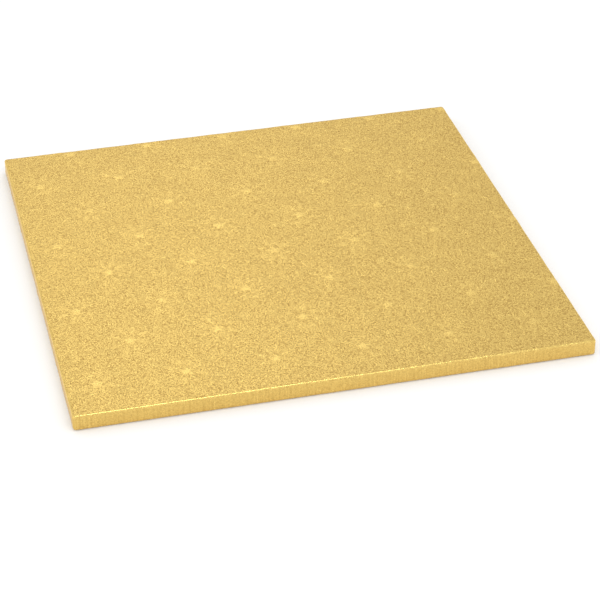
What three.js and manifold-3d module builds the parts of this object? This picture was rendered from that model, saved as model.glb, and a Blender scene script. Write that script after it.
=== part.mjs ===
// Square cake board: a stiff slab of layered board wrapped in gold foil paper. The foil covers the top,
// bends down over all four edges and turns under them, and a white paper liner is glued over the
// turned-in foil. Units are millimetres, +Z is up, and the origin is the centre of the underside.
import * as THREE from "three";
import { mergeVertices } from "three/addons/utils/BufferGeometryUtils.js";
import Module from "manifold-3d";

// Whole board
const BOARD_SIDE = 355.6; // 14 inches, measured over the foil
const BOARD_THICKNESS = 12; // from the table to the top of the foil
const CORNER_RADIUS = 2.2; // of the four corners, seen from above
const EDGE_RADIUS = 1.2; // of the bends where the foil goes over the edges

// Foil paper
const FOIL_THICKNESS = 0.3;
const TURN_IN = 22; // from the board's edge to the free edge of the foil on the underside
const MITRE_GAP = 0.6; // between two turned-in flaps where they meet at a corner

// Liner paper
const LINER_THICKNESS = 0.3;
const LINER_INSET = 6.5; // from the board's edge to the liner's edge
const LINER_CORNER_RADIUS = 1.5;
const PRESS_RUN = 3; // distance over which the liner climbs from the foil to the board behind it

// Glue between any two layers
const GLUE_LINE = 0.3;

// Fineness of the round surfaces
const CORNER_STEPS = 8; // for each quarter turn, seen from above
const EDGE_STEPS = 4; // for each bend over an edge

// Heights of the layers, from the table up
const FOIL_BOTTOM = LINER_THICKNESS + GLUE_LINE;
const CORE_BOTTOM = FOIL_BOTTOM + FOIL_THICKNESS + GLUE_LINE;

// Plan sizes that follow from the layers
const CORE_INSET = FOIL_THICKNESS + GLUE_LINE;
const WINDOW_SIDE = BOARD_SIDE - 2 * TURN_IN;
const LINER_SIDE = BOARD_SIDE - 2 * LINER_INSET;

const wasm = await Module();
wasm.setup();

// A closed three.js geometry as a solid that can be joined and cut.
function toSolid(geometry) {
  const bare = geometry.clone();
  bare.deleteAttribute("normal");
  bare.deleteAttribute("uv");
  const merged = mergeVertices(bare);
  return new wasm.Manifold(
    new wasm.Mesh({
      numProp: 3,
      vertProperties: merged.attributes.position.array,
      triVerts: new Uint32Array(merged.index.array),
    }),
  );
}

// A solid back as a three.js geometry with flat normals.
function toGeometry(solid) {
  const { vertProperties, triVerts } = solid.getMesh();
  const indexed = new THREE.BufferGeometry();
  indexed.setAttribute("position", new THREE.BufferAttribute(vertProperties, 3));
  indexed.setIndex(new THREE.BufferAttribute(triVerts, 1));
  const geometry = indexed.toNonIndexed();
  geometry.computeVertexNormals();
  return geometry;
}

// The outline of a square with round corners, centred on the origin.
function roundedSquare(side, radius) {
  const centre = side / 2 - radius;
  const quarter = Math.PI / 2;
  const outline = new THREE.Shape();
  outline.absarc(centre, centre, radius, 0, quarter);
  outline.absarc(-centre, centre, radius, quarter, 2 * quarter);
  outline.absarc(-centre, -centre, radius, 2 * quarter, 3 * quarter);
  outline.absarc(centre, -centre, radius, 3 * quarter, 4 * quarter);
  return outline;
}

// A square slab between two heights, with round corners and rounded top and bottom edges.
function slab(side, cornerRadius, edgeRadius, bottom, top) {
  const geometry = new THREE.ExtrudeGeometry(roundedSquare(side, cornerRadius), {
    depth: top - bottom - 2 * edgeRadius,
    curveSegments: CORNER_STEPS,
    bevelEnabled: edgeRadius > 0,
    bevelThickness: edgeRadius,
    bevelSize: edgeRadius,
    bevelOffset: -edgeRadius,
    bevelSegments: EDGE_STEPS,
  });
  return geometry.translate(0, 0, bottom + edgeRadius);
}

// The board's outer form, drawn in from its top and sides by one distance and standing on any height.
function boardForm(inset, bottom) {
  return slab(
    BOARD_SIDE - 2 * inset,
    CORNER_RADIUS - inset,
    EDGE_RADIUS - inset,
    bottom,
    BOARD_THICKNESS - inset,
  );
}

// The gap between two turned-in flaps, along the diagonal of one corner of the underside.
function mitreSlot(corner) {
  const inner = WINDOW_SIDE / 2 - MITRE_GAP;
  const outer = BOARD_SIDE / 2 - CORNER_RADIUS;
  const length = Math.SQRT2 * (outer - inner);
  const middle = (inner + outer) / Math.SQRT2;
  const slot = new THREE.BoxGeometry(length, MITRE_GAP, FOIL_THICKNESS + GLUE_LINE);
  slot.translate(middle, 0, FOIL_BOTTOM + FOIL_THICKNESS / 2);
  return slot.rotateZ(Math.PI / 4 + (corner * Math.PI) / 2);
}

// The stiff inside of the board, a hair smaller than the foil that is drawn round it.
function coreBoard() {
  return boardForm(CORE_INSET, CORE_BOTTOM);
}

// One sheet of foil paper: top, four sides and four flaps turned in under the board.
function foilWrap() {
  const hollowBottom = FOIL_BOTTOM + FOIL_THICKNESS;
  const windowDepth = FOIL_THICKNESS + 2 * GLUE_LINE;
  const window = new THREE.BoxGeometry(WINDOW_SIDE, WINDOW_SIDE, windowDepth);
  window.translate(0, 0, FOIL_BOTTOM + FOIL_THICKNESS / 2);
  let sheet = toSolid(boardForm(0, FOIL_BOTTOM))
    .subtract(toSolid(boardForm(FOIL_THICKNESS, hollowBottom)))
    .subtract(toSolid(window));
  for (let corner = 0; corner < 4; corner += 1) {
    sheet = sheet.subtract(toSolid(mitreSlot(corner)));
  }
  return toGeometry(sheet);
}

// The low step that the liner is pressed into: a square frustum inside the foil's window.
function pressedStep(bottom) {
  const height = CORE_BOTTOM - GLUE_LINE - LINER_THICKNESS;
  const lowerSide = WINDOW_SIDE - 2 * GLUE_LINE;
  const upperSide = lowerSide - 2 * PRESS_RUN;
  const step = new THREE.CylinderGeometry(
    upperSide / Math.SQRT2,
    lowerSide / Math.SQRT2,
    height,
    4,
  );
  step.rotateY(Math.PI / 4);
  step.rotateX(Math.PI / 2);
  return step.translate(0, 0, bottom + height / 2);
}

// One sheet of paper glued over the flaps and, in the middle, pressed up on to the board.
function baseLiner() {
  const sheet = toSolid(slab(LINER_SIDE, LINER_CORNER_RADIUS, 0, 0, LINER_THICKNESS))
    .add(toSolid(pressedStep(LINER_THICKNESS)))
    .subtract(toSolid(pressedStep(0)));
  return toGeometry(sheet);
}

const greyBoard = new THREE.MeshStandardMaterial({
  color: 0x9c8a70,
  roughness: 0.95,
  metalness: 0,
});
const goldFoil = new THREE.MeshStandardMaterial({
  color: 0xdcb45f,
  roughness: 0.35,
  metalness: 0.9,
});
const whitePaper = new THREE.MeshStandardMaterial({
  color: 0xeeebe4,
  roughness: 0.85,
  metalness: 0,
});

function part(name, geometry, material) {
  const mesh = new THREE.Mesh(geometry, material);
  mesh.name = name;
  return mesh;
}

const cakeBoard = new THREE.Group();
cakeBoard.name = "cake_board";
cakeBoard.add(part("core_board", coreBoard(), greyBoard));
cakeBoard.add(part("foil_wrap", foilWrap(), goldFoil));
cakeBoard.add(part("base_liner", baseLiner(), whitePaper));

export default cakeBoard;
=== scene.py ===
# Looks of the square cake board: a sheet of embossed gold foil paper wrapped over a stiff board, and a
# white paper liner underneath. Every length is in metres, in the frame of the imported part.
import math

import bmesh
import bpy
import numpy as np
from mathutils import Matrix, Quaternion, Vector


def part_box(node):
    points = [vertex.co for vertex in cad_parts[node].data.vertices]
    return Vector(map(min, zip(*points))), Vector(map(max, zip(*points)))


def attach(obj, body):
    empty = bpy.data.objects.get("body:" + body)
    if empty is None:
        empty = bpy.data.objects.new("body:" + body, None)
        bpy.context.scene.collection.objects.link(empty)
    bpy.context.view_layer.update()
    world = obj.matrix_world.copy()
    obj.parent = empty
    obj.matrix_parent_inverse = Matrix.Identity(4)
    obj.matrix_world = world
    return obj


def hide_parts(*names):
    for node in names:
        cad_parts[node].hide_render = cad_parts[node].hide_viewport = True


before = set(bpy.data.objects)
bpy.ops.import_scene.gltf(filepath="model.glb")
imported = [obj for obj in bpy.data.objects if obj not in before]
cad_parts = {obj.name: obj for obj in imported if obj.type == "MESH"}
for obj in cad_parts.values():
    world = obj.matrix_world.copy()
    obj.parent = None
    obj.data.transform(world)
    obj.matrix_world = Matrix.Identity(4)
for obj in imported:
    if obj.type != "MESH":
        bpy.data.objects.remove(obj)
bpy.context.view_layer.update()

MM = 0.001
BODY = "root"
SIDES = 4

# Foil sheet
CORNER_RADIUS = 2.2 * MM  # of the board's corners, seen from above
EDGE_RADIUS = 1.2 * MM  # of the bends over the top and bottom edges
FOIL_THICKNESS = 0.3 * MM
TURN_IN = 22 * MM  # from the board's edge to the free edge of a flap
MITRE_GAP = 0.6 * MM  # between two flaps at a corner
MITRE_OPENING = 1 * MM  # length over which that gap opens, from the corner inwards
FOIL_COLUMNS = 256  # cells along one side of the top
FOIL_CORNER_TURNS = 6
BEND_STEPS = 5
WALL_ROWS = 5
FLAP_ROWS = 3
INNER_BEND_STEPS = 2
INNER_WALL_ROWS = 1

# Liner sheet
LINER_THICKNESS = 0.3 * MM
LINER_CORNER_RADIUS = 1.5 * MM
PRESS_RUN = 3 * MM  # length over which the liner climbs to the board
PRESS_CLEARANCE = 0.3 * MM  # from the flaps' free edges to the foot of that climb
LINER_CORNER_TURNS = 4
LINER_BORDER_POINTS = 6
LINER_CLIMB_POINTS = 7
LINER_COLUMNS = 90  # cells across its raised middle

# Unevenness of the papers: seed, number of waves, shortest and longest wave, standard deviation
FOIL_SLOW = (11, 24, 22 * MM, 60 * MM, 0.045 * MM)
FOIL_QUICK = (12, 32, 4.5 * MM, 11 * MM, 0.010 * MM)
LINER_RIPPLE = (21, 24, 14 * MM, 45 * MM, 0.04 * MM)
LINER_RIPPLE_LIMIT = 0.12 * MM

# Meshes
MERGE_WITHIN = 0.001 * MM  # points nearer to each other than this become one
SHARP_ANGLE = 60  # degrees between two faces, past which their edge is drawn sharp

# What each point of a patch holds
POINT_DATA = ("points", "normals", "sheet")

# Embossed pattern: the same spray on a centred lattice
REPEAT = (60.4 * MM, 90.6 * MM)  # from one blossom to the next, with one more in the middle of each four
FIRST_BLOSSOM = (54.6 * MM, -8.9 * MM)
BLOSSOM_RADIUS = 4.9 * MM
BLOSSOM_HEIGHT = 0.25 * MM
PETALS = 5
PETAL_SWING = 0.2  # how far the blossom's edge swings about its mean, as a share of its radius
PETAL_CREASE = 0.3  # how much the height swings between the petals
CREASE_RUN = 0.5  # share of the radius, from the middle, over which that swing grows
BUTTON_RADIUS = 0.3  # of the button in the middle, as a share of the blossom's
BUTTON_SINK = 0.6  # how much of the petals' height the button takes away
BUTTON_HEIGHT = 0.5
LEAF_HEIGHT = 0.085 * MM
LEAF_POWER = 0.8  # below 1, so that a leaf is widest before its middle
LEAF_TIP = 1e-6  # share of a leaf's length left out at both tips, where it has no width
# Each leaf on the right of a blossom: where it starts, its angle, its length and its width
LEAVES = (
    (4.6 * MM, 3.0 * MM, 32, 11.0 * MM, 4.6 * MM),
    (5.2 * MM, -2.4 * MM, -22, 10.0 * MM, 4.2 * MM),
    (1.8 * MM, -5.4 * MM, -72, 12.0 * MM, 4.4 * MM),
    (1.8 * MM, 5.6 * MM, 76, 12.5 * MM, 4.4 * MM),
    (18.5 * MM, 8.6 * MM, 58, 8.0 * MM, 3.6 * MM),
    (19.5 * MM, -7.0 * MM, -66, 8.0 * MM, 3.6 * MM),
)
SCROLL_CENTRE = (15.5 * MM, 12.5 * MM)
SCROLL_RADIUS = 6.2 * MM
SCROLL_PITCH = 2.9 * MM
SCROLL_LINE = 0.65 * MM  # half of the width of a scroll's line

# Foil: its crinkle, and how much of that is lost where the foil is pressed, drawn or bent
GRAIN = 0.7 * MM  # size of the crinkle's fine features
PEBBLE = 1.05 * MM  # and of its rounded ones
PEBBLE_SHARE = 0.35  # weight of the rounded ones, which are taken off the fine ones
GRAIN_HEIGHT = 0.2 * MM
CRINKLE_MEAN = 0.33
CRINKLE_REACH = 0.124  # from the mean to the crinkle's pits, painted deepest gold as painted shade, and to its crests, painted palest as painted glints
PRESSED_CALM = 0.3
SIDE_CALM = 0.7  # on the sides, where the pattern fades as much
BEND_CALM = 0.75

# Foil: the painted sheen and highlight that make it paler, what makes it smoother, and the relief of its
# lines
# painted sheen: how much paler the pressed pattern is painted
PATTERN_PAINTED_SHEEN = 0.55
SCROLL_SHARE = 0.35  # of a scroll's painted sheen beside a blossom's
# painted highlight: how much paler the bends over the edges are painted
BEND_PAINTED_HIGHLIGHT = 0.3
SCROLL_HEIGHT = 0.09 * MM
STREAK = 1.5 * MM  # between the faint creases down the sides
# painted sheen and shade: how much lighter and darker the creases down the sides are painted
STREAK_PAINTED_SHEEN = 0.4
STREAK_HEIGHT = 0.3  # as a share of the crinkle's
NOISE_MEAN = 0.5
FOIL_ROUGHNESS = (0.40, 0.24)  # where the gold is deep and where it is pale
FOIL_COAT = {"Coat_Weight": 0.35, "Coat_Roughness": 0.3, "Coat_IOR": 1.5}

# Liner paper
PAPER_FIBRE = 0.5 * MM
PAPER_DRAW = (1, 0.25, 1)  # makes the fibres four times as long along y
PAPER_FIBRE_SHARE = 0.6  # beside the mottle
PAPER_MOTTLE = 9 * MM
PAPER_SPAN = (0.35, 0.65)  # noise at which the paper is darkest and whitest
PAPER_ROUGHNESS = (0.75, 0.95)
PAPER_FIBRE_HEIGHT = 0.03 * MM

# Board
BOARD_LAYER = 0.6 * MM
BOARD_DRAW = (0.15, 0.15, 1)  # spreads the layers along the board
BOARD_LAYER_SHARE = 0.6  # beside the fibres
BOARD_FIBRE = 1.2 * MM
BOARD_SPECK = 2.5 * MM
SPECK_SPAN = (0.62, 0.72)  # noise at which a speck begins and is full
SPECK_DARKNESS = 0.4
BOARD_ROUGHNESS = (0.85, 1.0)
BOARD_FIBRE_HEIGHT = 0.1 * MM

# Colours
# the foil's gold: the deep end is painted into the crinkle's pits as painted shade, and the pale end on its
# crests, pattern, bends and creases as painted glints, sheen and highlight
GOLD_DEEP = (0.46, 0.268, 0.054)
GOLD_PALE = (0.98, 0.703, 0.205)
GOLD_AT_EDGE = (1.0, 0.88, 0.62, 1.0)  # tint at grazing angles
PAPER_SHADE = (0.74, 0.72, 0.65)
PAPER_WHITE = (0.88, 0.87, 0.83)
BOARD_DARK = (0.22, 0.16, 0.10)
BOARD_LIGHT = (0.42, 0.33, 0.22)
WHITE = (1, 1, 1, 1)

# Stage
WORLD_SEEN = 0.82  # brightness of the world in shiny things
WORLD_LIGHT = 1.0  # and for the light that it gives
FLOOR_HALF = 6.0  # half of the floor's side
FLOOR_COLOUR = (0.82, 0.82, 0.82, 1)
FLOOR_ROUGHNESS = 0.9
FLOOR_GLOW = 0.13  # added where the camera or a shiny thing sees the floor
# Each lamp's width, height and place, the point that it faces, and its radiance
LAMPS = {
    "strip_front": (0.7, 0.16, (-0.02, -0.84, 1.07), (-0.02, -0.17, 0), 8.5),
    "softbox_back": (0.65, 0.6, (0.14, 1.5, 1.35), (0, 0, 0), 1.15),
    "softbox_left": (0.8, 0.8, (-1.3, -0.1, 0.8), (0, 0, 0), 0.55),
}

# Camera, from a perspective fit to the corners of the board. Angles are in degrees
CAMERA_PLACE = (-292.7 * MM, -1300.2 * MM, 807.5 * MM)
CAMERA_BEARING = 13.32  # from +Y towards +X
CAMERA_DIP = 32.36  # below level
CAMERA_ROLL = -0.636
CAMERA_LENS = 128.37  # in mm, as is the sensor's width
CAMERA_SENSOR = 36
CAMERA_CLIP = (0.05, 100)

# Mix nodes, where sockets share names: the two inputs and the output of each kind
MIX_SOCKETS = {"VECTOR": (4, 5, 1), "RGBA": (6, 7, 2)}

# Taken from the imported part
foil_low, foil_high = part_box("foil_wrap")
liner_low, liner_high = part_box("base_liner")
HALF_SIDE = foil_high.x
BOARD_TOP = foil_high.z
FOIL_BOTTOM = foil_low.z
CORNER_CENTRE = HALF_SIDE - CORNER_RADIUS
LINER_CORNER_CENTRE = liner_high.x - LINER_CORNER_RADIUS
PRESS_HEIGHT = liner_high.z - LINER_THICKNESS
BEND_HALF = EDGE_RADIUS * math.pi / 4  # half of the paper in the bend over a top edge
BEND_MIDDLE = HALF_SIDE - EDGE_RADIUS + BEND_HALF  # out from the board's middle, on the flat paper


def smooth(t):
    """Eases from 0 to 1 as t goes from 0 to 1: 3 t squared less 2 t cubed, flat outside."""
    t = np.clip(t, 0, 1)
    return t * t * (3 - 2 * t)


def outline(stations, turns):
    """The border of a square plan as complex numbers, anticlockwise, and the level normal at each point.

    One side runs along the stations, from -c to c, at -c across. At each corner the point stands still
    while its normal makes a quarter turn, so that point + d * normal, for a distance d, is the border
    moved outwards by d with round corners.
    """
    corner = stations[-1]
    turn = np.linspace(-math.pi / 2, 0, turns + 1)[1:-1]
    points = np.concatenate([stations - 1j * corner, np.full(turns - 1, corner - 1j * corner)])
    normals = np.concatenate([np.full(len(stations), -1j), np.exp(1j * turn)])
    quarter_turns = 1j ** np.arange(SIDES)[:, None]
    return (quarter_turns * points).ravel(), (quarter_turns * normals).ravel()


def grid(plan, heights, sheet, tilt=0.0, outward=1j, facing=1, closed=False):
    """One patch of surface: rows and columns of points, with all that each point needs later.

    plan and sheet are places as complex numbers, on the board and on the flat paper. tilt is the angle
    from straight up of the surface's outward side, which leans along the level direction outward.
    """
    plan, heights, sheet, tilt, outward = np.broadcast_arrays(plan, heights, sheet, tilt, outward)
    level = np.sin(tilt) * outward
    return {
        "points": np.stack([plan.real, plan.imag, heights], -1),
        "normals": np.stack([level.real, level.imag, np.cos(tilt)], -1),
        "sheet": np.stack([sheet.real, sheet.imag], -1),
        "facing": facing,
        "closed": closed,
    }


def cells(patch, first):
    """The four-cornered faces between neighbouring rows and columns of a patch."""
    rows, columns = patch["points"].shape[:2]
    index = first + np.arange(rows * columns).reshape(rows, columns)
    if patch["closed"]:
        index = np.concatenate([index, index[:, :1]], 1)
    faces = np.stack([index[:-1, :-1], index[1:, :-1], index[1:, 1:], index[:-1, 1:]], -1).reshape(-1, 4)
    return faces[:, :: patch["facing"]]


def placed(name, data):
    """A new object that stands in the scene."""
    made = bpy.data.objects.new(name, data)
    bpy.context.scene.collection.objects.link(made)
    return made


def make_piece(name, patches, relief=None):
    """Joins patches into one closed mesh object: points at the same place are merged.

    relief is a function of the patch that gives how far each point moves along its normal. The flat
    paper's coordinates are kept in the UV map called sheet.
    """
    firsts = np.cumsum([0] + [p["points"][..., 0].size for p in patches])
    lifts = [relief(p) if relief else 0.0 for p in patches]
    points = [p["points"] + p["normals"] * np.asarray(h)[..., None] for p, h in zip(patches, lifts)]
    faces = np.concatenate([cells(p, first) for p, first in zip(patches, firsts)])
    sheet = np.concatenate([p["sheet"].reshape(-1, 2) for p in patches])
    mesh = bpy.data.meshes.new(name)
    mesh.from_pydata(np.concatenate([p.reshape(-1, 3) for p in points]), [], faces)
    mesh.uv_layers.new(name="sheet").data.foreach_set("uv", sheet[faces.ravel()].ravel().astype(np.float32))
    joined = bmesh.new()
    joined.from_mesh(mesh)
    bmesh.ops.remove_doubles(joined, verts=joined.verts, dist=MERGE_WITHIN)
    joined.to_mesh(mesh)
    joined.free()
    mesh.shade_smooth()
    mesh.set_sharp_from_angle(angle=math.radians(SHARP_ANGLE))
    return placed(name, mesh)


def edge_profile(inset, bend_steps, wall_rows):
    """How the foil goes from the top over an edge to the underside: four arrays, one value for each row.

    They are the distance out from the corner centres, the height, the length of paper used, and the
    tilt. Two quarter circles of radius EDGE_RADIUS - inset, about centres EDGE_RADIUS in from the top,
    side and underside, are joined by straight stretches.
    """
    reach = CORNER_RADIUS - EDGE_RADIUS
    bend = np.linspace(0, math.pi / 2, bend_steps + 1)
    wall = np.linspace(BOARD_TOP - EDGE_RADIUS, FOIL_BOTTOM + EDGE_RADIUS, wall_rows + 1)
    tilt = np.concatenate([[0], bend, np.full(wall_rows - 1, math.pi / 2), math.pi / 2 + bend, [math.pi]])
    centre_out = np.concatenate([[0], np.full(len(tilt) - 2, reach), [0]])
    centre_up = np.concatenate(
        [np.full(bend_steps + 2, wall[0]), wall[1:-1], np.full(bend_steps + 2, wall[-1])]
    )
    out = centre_out + (EDGE_RADIUS - inset) * np.sin(tilt)
    up = centre_up + (EDGE_RADIUS - inset) * np.cos(tilt)
    used = np.concatenate([[0], np.cumsum(np.hypot(np.diff(out), np.diff(up)))])
    return out, up, used, tilt


def edge_rows(stations, turns, inset, bend_steps, wall_rows, facing):
    """The foil round all four sides, from the corner centres' square on top to the one underneath."""
    base, outward = outline(stations, turns)
    out, up, used, tilt = (a[:, None] for a in edge_profile(inset, bend_steps, wall_rows))
    return grid(base + out * outward, up, base + used * outward, tilt, outward, facing, closed=True)


def flap(side, stations, height, used, facing):
    """One turned-in flap: a strip from the corner centres' line inwards, cut along the mitres.

    At a distance e inwards its half length is the corner centre's distance less e and less half of the
    mitre gap, measured along the side, which opens over the first MITRE_OPENING.
    """
    depths = np.linspace(MITRE_OPENING, TURN_IN - CORNER_RADIUS, FLAP_ROWS)
    inwards = np.concatenate([[0], depths])[:, None]
    half_gap = MITRE_GAP / math.sqrt(2) * smooth(inwards / MITRE_OPENING)
    along = stations / CORNER_CENTRE * (CORNER_CENTRE - inwards - half_gap)
    turned = 1j**side
    plan = turned * (along - 1j * (CORNER_CENTRE - inwards))
    sheet = turned * (along - 1j * (CORNER_CENTRE + used + inwards))
    return grid(plan, height, sheet, math.pi, facing=facing)


def flap_rim(below, above):
    """The cut edge of a flap: from the corner along one mitre, the free edge and the other mitre."""

    def border(values):
        return np.concatenate([values[:, 0], values[-1], values[::-1, -1]])

    rim = {key: np.stack([border(below[key]), border(above[key])]) for key in POINT_DATA}
    return {**rim, "facing": 1, "closed": False}


def fan(ring):
    """Triangles from one middle point to the first row of a closed patch."""

    def with_middle(row):
        return np.concatenate([np.broadcast_to(row.mean(1, keepdims=True), row.shape), row])

    rows = {key: with_middle(ring[key][:1]) for key in POINT_DATA}
    return {**rows, "facing": ring["facing"], "closed": True}


def near_blossom(x, y):
    """Each place measured from the blossom nearest to it, on the centred lattice."""
    x, y = x - FIRST_BLOSSOM[0], y - FIRST_BLOSSOM[1]
    wide, tall = REPEAT
    about_middle = (x + wide / 2) % wide - wide / 2, (y + tall / 2) % tall - tall / 2
    about_corner = x % wide - wide / 2, y % tall - tall / 2
    nearer = np.hypot(*about_corner) < np.hypot(*about_middle)
    return np.where(nearer, about_corner, about_middle)


def blossom_form(x, y):
    """Height from 0 to 1 of a blossom at the origin.

    Its edge is at the radius R (1 - s + s w), where s is PETAL_SWING and the wave w is the cosine of the
    petal count times the bearing. Inside, the height is a dome, lowered between the petals, with a
    button in the middle that falls off as exp of minus the radius squared.
    """
    wave = np.cos(PETALS * np.arctan2(x, y))
    radius = np.hypot(x, y) / BLOSSOM_RADIUS
    edge = 1 - PETAL_SWING + PETAL_SWING * wave
    dome = np.sqrt(np.clip(1 - (radius / edge) ** 2, 0, 1))
    petals = 1 - PETAL_CREASE + PETAL_CREASE * wave * smooth(radius / CREASE_RUN)
    button = np.exp(-((radius / BUTTON_RADIUS) ** 2))
    return dome * petals * (1 - BUTTON_SINK * button) + BUTTON_HEIGHT * button


def leaf_form(x, y, start_x, start_y, angle, length, width):
    """Height from 0 to 1 of one leaf.

    At a share t of its length its half width follows sin(pi t^LEAF_POWER). Across it the height is a
    parabola, and along its middle line the square root of sin(pi t).
    """
    turned = ((x - start_x) + 1j * (y - start_y)) * np.exp(-1j * math.radians(angle)) / length
    along = np.clip(turned.real, LEAF_TIP, 1 - LEAF_TIP)
    half = np.sin(math.pi * along**LEAF_POWER) * width / 2 / length
    inside = (turned.real > 0) & (turned.real < 1)
    form = np.clip(1 - (turned.imag / half) ** 2, 0, 1) * np.sqrt(np.sin(math.pi * along))
    return np.where(inside, form, 0)


def ornament(x, y):
    """Share from 0 to 1 of blossoms and of leaves at each place of the flat paper."""
    x, y = near_blossom(x, y)
    leaves = np.max([leaf_form(np.abs(x), y, *leaf) for leaf in LEAVES], axis=0)
    return blossom_form(x, y), leaves


def cockle(x, y, seed, waves, shortest, longest, spread):
    """Unevenness of paper: a sum of sine waves with random bearings, lengths and starts.

    Their lengths lie between shortest and longest, and the sum has the standard deviation spread.
    """
    chance = np.random.default_rng(seed)
    bearing, start = chance.uniform(0, 2 * math.pi, (2, waves))
    turns = 2 * math.pi / chance.uniform(shortest, longest, waves)
    phase = x[..., None] * turns * np.cos(bearing) + y[..., None] * turns * np.sin(bearing) + start
    return spread * math.sqrt(2 / waves) * np.sin(phase).sum(-1)


def foil_relief(patch):
    """How far the foil stands off its plain form: nothing inside, and fading out under the board."""
    if patch["facing"] < 0:
        return 0 * patch["points"][..., 0]
    x, y = patch["sheet"][..., 0], patch["sheet"][..., 1]
    blossoms, leaves = ornament(x, y)
    pressed = np.maximum(BLOSSOM_HEIGHT * blossoms, LEAF_HEIGHT * leaves)
    shown = smooth(1 + patch["normals"][..., 2])
    return shown * (pressed + cockle(x, y, *FOIL_SLOW) + cockle(x, y, *FOIL_QUICK))


def mark_ornament(mesh):
    """Keeps the share of blossoms and leaves at each corner of each face, for the material."""
    sheet = np.zeros(2 * len(mesh.loops), np.float32)
    mesh.uv_layers["sheet"].data.foreach_get("uv", sheet)
    blossoms, leaves = ornament(*sheet.reshape(-1, 2).T)
    shares = np.maximum(blossoms, LEAF_HEIGHT / BLOSSOM_HEIGHT * leaves)
    mesh.attributes.new("ornament", "FLOAT", "CORNER").data.foreach_set("value", shares)


def foil_sheet():
    """The whole sheet of foil paper as one closed skin: outer side, inner side and cut edges."""
    stations = np.linspace(-CORNER_CENTRE, CORNER_CENTRE, FOIL_COLUMNS + 1)
    level = stations - 1j * stations[:, None]
    outer = edge_rows(stations, FOIL_CORNER_TURNS, 0, BEND_STEPS, WALL_ROWS, 1)
    inner = edge_rows(stations, FOIL_CORNER_TURNS, FOIL_THICKNESS, INNER_BEND_STEPS, INNER_WALL_ROWS, -1)
    patches = [grid(level, BOARD_TOP, level), outer, inner, fan(inner)]
    used = edge_profile(0, BEND_STEPS, WALL_ROWS)[2][-1]
    for side in range(SIDES):
        below = flap(side, stations, FOIL_BOTTOM, used, 1)
        above = flap(side, stations, FOIL_BOTTOM + FOIL_THICKNESS, used, -1)
        patches += [below, above, flap_rim(below, above)]
    piece = make_piece("foil_sheet", patches, foil_relief)
    mark_ornament(piece.data)
    return piece


def liner_sheet():
    """The liner as one closed sheet: its underside and upper side rise together in the middle.

    The rise eases from 0 to PRESS_HEIGHT over PRESS_RUN, measured inwards from the flaps' free edges.
    """
    foot = HALF_SIDE - TURN_IN - PRESS_CLEARANCE
    border = np.linspace(-LINER_CORNER_CENTRE, -foot, LINER_BORDER_POINTS)
    climb = np.linspace(-foot, -foot + PRESS_RUN, LINER_CLIMB_POINTS)
    middle = np.linspace(-foot + PRESS_RUN, foot - PRESS_RUN, LINER_COLUMNS + 1)
    half = np.concatenate([border[:-1], climb[:-1]])
    stations = np.concatenate([half, middle, -half[::-1]])
    level = stations - 1j * stations[:, None]
    share = smooth((foot - np.maximum(np.abs(level.real), np.abs(level.imag))) / PRESS_RUN)
    ripple = cockle(level.real, level.imag, *LINER_RIPPLE)
    rise = share * (PRESS_HEIGHT + np.clip(ripple, -LINER_RIPPLE_LIMIT, LINER_RIPPLE_LIMIT))
    base, outward = outline(stations, LINER_CORNER_TURNS)
    out = LINER_CORNER_RADIUS * np.array([0, 1, 1, 0])[:, None]
    up = LINER_THICKNESS * np.array([1, 1, 0, 0])[:, None]
    tilt = math.pi / 2 * np.array([0, 1, 1, 2])[:, None]
    rim = grid(base + out * outward, up, base + out * outward, tilt, outward, closed=True)
    upper = grid(level, rise + LINER_THICKNESS, level)
    under = grid(level, rise, level, math.pi, facing=-1)
    return make_piece("liner_sheet", [upper, rim, under])


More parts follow.
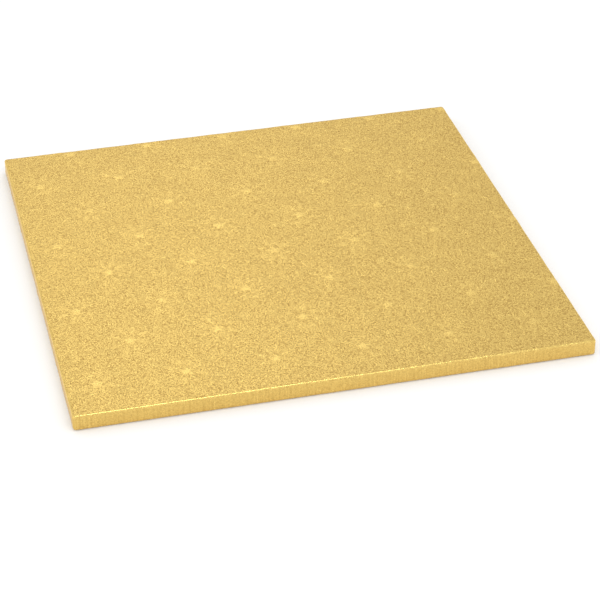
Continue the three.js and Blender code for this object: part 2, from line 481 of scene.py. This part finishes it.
class Graph:
    """A node tree with short calls: each adds one node and returns an output to link further."""

    def __init__(self, owner):
        owner.use_nodes = True
        self.tree = owner.node_tree

    def fill(self, socket, value):
        """Links an output to the socket, or sets the socket to a constant."""
        if isinstance(value, bpy.types.NodeSocket):
            self.tree.links.new(value, socket)
        else:
            socket.default_value = value

    def shade(self, **values):
        """Fills sockets of the shader, whose names have _ here for each space."""
        for socket, value in values.items():
            self.fill(self.shader.inputs[socket.replace("_", " ")], value)

    def node(self, kind, inputs=(), output=0, **settings):
        """A new node of a kind, with its settings and its inputs filled, by name or by number."""
        node = self.tree.nodes.new("ShaderNode" + kind)
        for name, value in settings.items():
            setattr(node, name, value)
        for name, value in dict(inputs).items():
            self.fill(node.inputs[name], value)
        return node.outputs[output]

    def math(self, operation, *values, clamp=False):
        """The operation on numbers."""
        return self.node("Math", enumerate(values), operation=operation, use_clamp=clamp)

    def vector(self, operation, *values, output=0):
        """The operation on vectors."""
        return self.node("VectorMath", enumerate(values), output, operation=operation)

    def between(self, value, low, high):
        """Eases from 0 to 1 as the value goes from low to high."""
        inputs = {"Value": value, "From Min": low, "From Max": high}
        return self.node("MapRange", inputs, interpolation_type="SMOOTHSTEP")

    def ramp(self, share, limits):
        """A number that goes straight from the first limit to the second, by a share from 0 to 1."""
        return self.node("MapRange", {"Value": share, "To Min": limits[0], "To Max": limits[1]})

    def beside(self, first, second, share):
        """The first number times its share, plus the second times the rest."""
        rest = self.math("MULTIPLY", second, 1 - share)
        return self.math("ADD", self.math("MULTIPLY", first, share), rest)

    def mix(self, kind, share, first, second):
        """A vector or colour from the first to the second, by a share from 0 to 1."""
        first_input, second_input, output = MIX_SOCKETS[kind]
        inputs = {"Factor": share, first_input: first, second_input: second}
        return self.node("Mix", inputs, output, data_type=kind)

    def colours(self, share, first, second):
        """A colour from the first to the second, by a share from 0 to 1."""
        return self.mix("RGBA", share, (*first, 1), (*second, 1))

    def level_parts(self, vector):
        """The x and the y of a vector."""
        parts = self.tree.nodes.new("ShaderNodeSeparateXYZ")
        self.fill(parts.inputs[0], vector)
        return parts.outputs[0], parts.outputs[1]

    def noise(self, place, size, detail=2.0, roughness=0.5, distortion=0.0):
        """Noise with features of the given size."""
        inputs = {"Vector": place, "Scale": 1 / size, "Detail": detail, "Roughness": roughness,
                  "Distortion": distortion}
        return self.node("TexNoise", inputs)

    def bump(self, height, distance, normal=None):
        """The normal of a relief, a height times a distance, on top of another normal if one is given."""
        inputs = {"Height": height, "Distance": distance, "Strength": 1.0}
        return self.node("Bump", inputs if normal is None else {**inputs, "Normal": normal})


def material(name, **values):
    """A new material with constant values on its shader, and its graph."""
    made = bpy.data.materials.new(name)
    graph = Graph(made)
    graph.shader = graph.tree.nodes["Principled BSDF"]
    graph.shade(**values)
    return made, graph


def scroll_lines(graph, place):
    """Ridges from 0 to 1 of the scrolls round each blossom, in the flat paper's coordinates.

    Each place is measured from the nearest blossom and folded into one quarter. Round the scroll's
    centre there, the ridge is where the radius less the pitch times the bearing, in turns, is near a
    whole number of pitches.
    """
    wide, tall = REPEAT
    from_first = graph.vector("SUBTRACT", place, (*FIRST_BLOSSOM, 0))
    folded = []
    for shift in (0, 1):
        moved = graph.vector("SUBTRACT", from_first, (shift * wide / 2, shift * tall / 2, 0))
        folded.append(graph.vector("WRAP", moved, (wide / 2, tall / 2, 1), (-wide / 2, -tall / 2, -1)))
    lengths = [graph.vector("LENGTH", f, output="Value") for f in folded]
    nearer = graph.math("LESS_THAN", lengths[1], lengths[0])
    spot = graph.mix("VECTOR", nearer, *folded)
    quarter = graph.vector("SUBTRACT", graph.vector("ABSOLUTE", spot), (*SCROLL_CENTRE, 0))
    x, y = graph.level_parts(quarter)
    turns = graph.math("DIVIDE", graph.math("ARCTAN2", y, x), 2 * math.pi)
    squares = graph.math("ADD", graph.math("POWER", x, 2), graph.math("POWER", y, 2))
    radius = graph.math("SQRT", squares)
    unrolled = graph.math("SUBTRACT", radius, graph.math("MULTIPLY", turns, SCROLL_PITCH))
    off = graph.math("ABSOLUTE", graph.math("WRAP", unrolled, SCROLL_PITCH / 2, -SCROLL_PITCH / 2))
    ridge = graph.between(off, SCROLL_LINE, 0)
    within = graph.between(radius, SCROLL_RADIUS, SCROLL_RADIUS - SCROLL_LINE)
    return graph.math("MULTIPLY", ridge, within)


def over_edges(graph, place):
    """Three values: 1 where the paper has gone over an edge and 0 on top, 1 on the bend at that edge, which
    takes a painted highlight, and 0 elsewhere, and the distance along the edge."""
    x, y = graph.level_parts(place)
    reach_x, reach_y = graph.math("ABSOLUTE", x), graph.math("ABSOLUTE", y)
    reach = graph.math("MAXIMUM", reach_x, reach_y)
    gone = graph.between(reach, HALF_SIDE, HALF_SIDE + EDGE_RADIUS)
    off_bend = graph.math("ABSOLUTE", graph.math("SUBTRACT", reach, BEND_MIDDLE))
    bend = graph.between(off_bend, BEND_HALF, BEND_HALF / 2)
    is_x = graph.math("LESS_THAN", reach_x, reach_y)
    along = graph.math("MULTIPLY_ADD", graph.math("SUBTRACT", x, y), is_x, y)
    return gone, bend, along


def gold_foil():
    """Gold lacquer over aluminium foil, crinkled finely, with scrolls pressed between the leaves.

    The blossoms, leaves and scrolls are pressed smoother and are painted paler as a painted sheen, and the
    bends over the edges are painted paler as a painted highlight. The crinkle's pits are painted deeper
    gold and its crests paler, as painted shade and glints. Down the sides the crinkle and the pattern are
    drawn flatter, and faint creases run, painted lighter and darker as painted sheen and shade.
    """
    made, graph = material("gold_foil", Metallic=1.0, Specular_Tint=GOLD_AT_EDGE, **FOIL_COAT)
    place = graph.node("UVMap", uv_map="sheet")
    pressed = graph.node("Attribute", output="Fac", attribute_name="ornament")
    fine = graph.noise(place, GRAIN, detail=2, roughness=0.6, distortion=0.3)
    pebble = graph.node("TexVoronoi", {"Vector": place, "Scale": 1 / PEBBLE}, feature="SMOOTH_F1")
    crinkle = graph.math("SUBTRACT", fine, graph.math("MULTIPLY", pebble, PEBBLE_SHARE))
    scrolls = scroll_lines(graph, place)
    gone, bend, along = over_edges(graph, place)
    lost = graph.math("MULTIPLY", gone, SIDE_CALM)
    calm = graph.math("MAXIMUM", graph.math("MULTIPLY", pressed, PRESSED_CALM), lost)
    calm = graph.math("MAXIMUM", calm, graph.math("MULTIPLY", bend, BEND_CALM))
    kept = graph.math("SUBTRACT", 1.0, calm)
    crinkle = graph.math("MULTIPLY", graph.math("SUBTRACT", crinkle, CRINKLE_MEAN), kept)
    streaks = graph.node("TexNoise", {"W": along, "Scale": 1 / STREAK}, noise_dimensions="1D")
    streaks = graph.math("MULTIPLY", graph.math("SUBTRACT", streaks, NOISE_MEAN), gone)
    limits = {"From Min": -CRINKLE_REACH, "From Max": CRINKLE_REACH}
    # painted shade and glints: the crinkle's pits are painted deeper gold and its crests paler
    painted_shade_and_sheen = graph.node("MapRange", {"Value": crinkle, **limits})
    # painted sheen on the pressed blossoms, leaves and scrolls
    form = graph.math("MULTIPLY_ADD", scrolls, SCROLL_SHARE, pressed)
    form = graph.math("MULTIPLY", form, PATTERN_PAINTED_SHEEN)
    form = graph.math("MULTIPLY", form, graph.math("SUBTRACT", 1.0, lost))
    # painted highlight along the bends over the edges
    form = graph.math("MULTIPLY_ADD", bend, BEND_PAINTED_HIGHLIGHT, form)
    # painted sheen and shade along the creases down the sides
    form = graph.math("MULTIPLY_ADD", streaks, STREAK_PAINTED_SHEEN, form)
    painted_shade_and_sheen = graph.math("ADD", painted_shade_and_sheen, form, clamp=True)
    relief = graph.math("MULTIPLY_ADD", streaks, STREAK_HEIGHT, crinkle)
    normal = graph.bump(scrolls, SCROLL_HEIGHT, graph.bump(relief, GRAIN_HEIGHT))
    graph.shade(Base_Color=graph.colours(painted_shade_and_sheen, GOLD_DEEP, GOLD_PALE), Normal=normal, Coat_Normal=normal,
                Roughness=graph.ramp(painted_shade_and_sheen, FOIL_ROUGHNESS))
    return made


def liner_paper():
    """Matt white paper with fibres and a faint mottle."""
    made, graph = material("liner_paper")
    place = graph.node("TexCoord", output="Object")
    drawn = graph.node("Mapping", {"Vector": place, "Scale": PAPER_DRAW})
    fibre = graph.noise(drawn, PAPER_FIBRE, detail=4, roughness=0.65, distortion=1.0)
    mottle = graph.noise(place, PAPER_MOTTLE, detail=3)
    share = graph.between(graph.beside(fibre, mottle, PAPER_FIBRE_SHARE), *PAPER_SPAN)
    graph.shade(Base_Color=graph.colours(share, PAPER_SHADE, PAPER_WHITE),
                Roughness=graph.ramp(fibre, PAPER_ROUGHNESS), Normal=graph.bump(fibre, PAPER_FIBRE_HEIGHT))
    return made


def layered_board():
    """Brown-grey board in layers: bands through the thickness, with fibres and dark specks."""
    made, graph = material("layered_board")
    place = graph.node("TexCoord", output="Object")
    flat = graph.node("Mapping", {"Vector": place, "Scale": BOARD_DRAW})
    layers = graph.noise(flat, BOARD_LAYER, detail=2)
    fibre = graph.noise(place, BOARD_FIBRE, detail=5, roughness=0.7)
    specks = graph.between(graph.noise(place, BOARD_SPECK, detail=4), *SPECK_SPAN)
    share = graph.beside(layers, fibre, BOARD_LAYER_SHARE)
    share = graph.math("SUBTRACT", share, graph.math("MULTIPLY", specks, SPECK_DARKNESS), clamp=True)
    graph.shade(Base_Color=graph.colours(share, BOARD_DARK, BOARD_LIGHT),
                Roughness=graph.ramp(fibre, BOARD_ROUGHNESS), Normal=graph.bump(fibre, BOARD_FIBRE_HEIGHT))
    return made


def studio_world():
    """Plain white world: full strength to the camera and as light, and softer in shiny things."""
    world = bpy.data.worlds.new("studio")
    bpy.context.scene.world = world
    graph = Graph(world)
    background = graph.tree.nodes["Background"]
    graph.fill(background.inputs["Color"], WHITE)
    rays = graph.tree.nodes.new("ShaderNodeLightPath").outputs
    level = graph.math("MULTIPLY_ADD", rays["Is Glossy Ray"], WORLD_SEEN - WORLD_LIGHT, WORLD_LIGHT)
    level = graph.math("MAXIMUM", level, rays["Is Camera Ray"])
    graph.fill(background.inputs["Strength"], level)


def studio_floor():
    """A pale floor that keeps the board's shadow and looks white where it is fully lit."""
    mesh = bpy.data.meshes.new("floor")
    signs = ((-1, -1), (1, -1), (1, 1), (-1, 1))
    mesh.from_pydata([(x * FLOOR_HALF, y * FLOOR_HALF, 0) for x, y in signs], [], [range(len(signs))])
    floor = placed("floor", mesh)
    made, graph = material("floor", Base_Color=FLOOR_COLOUR, Roughness=FLOOR_ROUGHNESS,
                           Specular_IOR_Level=0, Emission_Color=WHITE)
    rays = graph.tree.nodes.new("ShaderNodeLightPath").outputs
    seen = graph.math("MAXIMUM", rays["Is Camera Ray"], rays["Is Glossy Ray"])
    graph.shade(Emission_Strength=graph.math("MULTIPLY", seen, FLOOR_GLOW))
    mesh.materials.append(made)


def softbox(name, width, height, place, aim, radiance):
    """A rectangular lamp that faces a point, with its brightness given as radiance."""
    lamp = bpy.data.lights.new(name, "AREA")
    lamp.shape = "RECTANGLE"
    lamp.size, lamp.size_y = width, height
    lamp.energy = radiance * math.pi * width * height
    holder = placed(name, lamp)
    holder.location = place
    holder.rotation_euler = (Vector(aim) - Vector(place)).to_track_quat("-Z", "Y").to_euler()
    holder.visible_camera = False


def photo_camera():
    """The camera, by its place, the bearing and dip of its line of sight, and its roll about that line."""
    camera = placed("camera", bpy.data.cameras.new("camera"))
    camera.data.lens, camera.data.sensor_width = CAMERA_LENS, CAMERA_SENSOR
    camera.data.clip_start, camera.data.clip_end = CAMERA_CLIP
    bearing, dip = math.radians(CAMERA_BEARING), math.radians(CAMERA_DIP)
    sight = Vector((math.sin(bearing) * math.cos(dip), math.cos(bearing) * math.cos(dip), -math.sin(dip)))
    camera.rotation_mode = "QUATERNION"
    roll = Quaternion((0, 0, 1), math.radians(CAMERA_ROLL))
    camera.rotation_quaternion = sight.to_track_quat("-Z", "Y") @ roll
    camera.location = CAMERA_PLACE
    bpy.context.scene.camera = camera


photo_camera()
foil = foil_sheet()
foil.data.materials.append(gold_foil())
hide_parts("foil_wrap")
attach(foil, BODY)

liner = liner_sheet()
liner.data.materials.append(liner_paper())
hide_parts("base_liner")
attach(liner, BODY)

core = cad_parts["core_board"]
core.data.materials.clear()
core.data.materials.append(layered_board())

studio_world()
studio_floor()
for lamp_name, lamp_values in LAMPS.items():
    softbox(lamp_name, *lamp_values)
bpy.context.scene.view_settings.view_transform = "Standard"
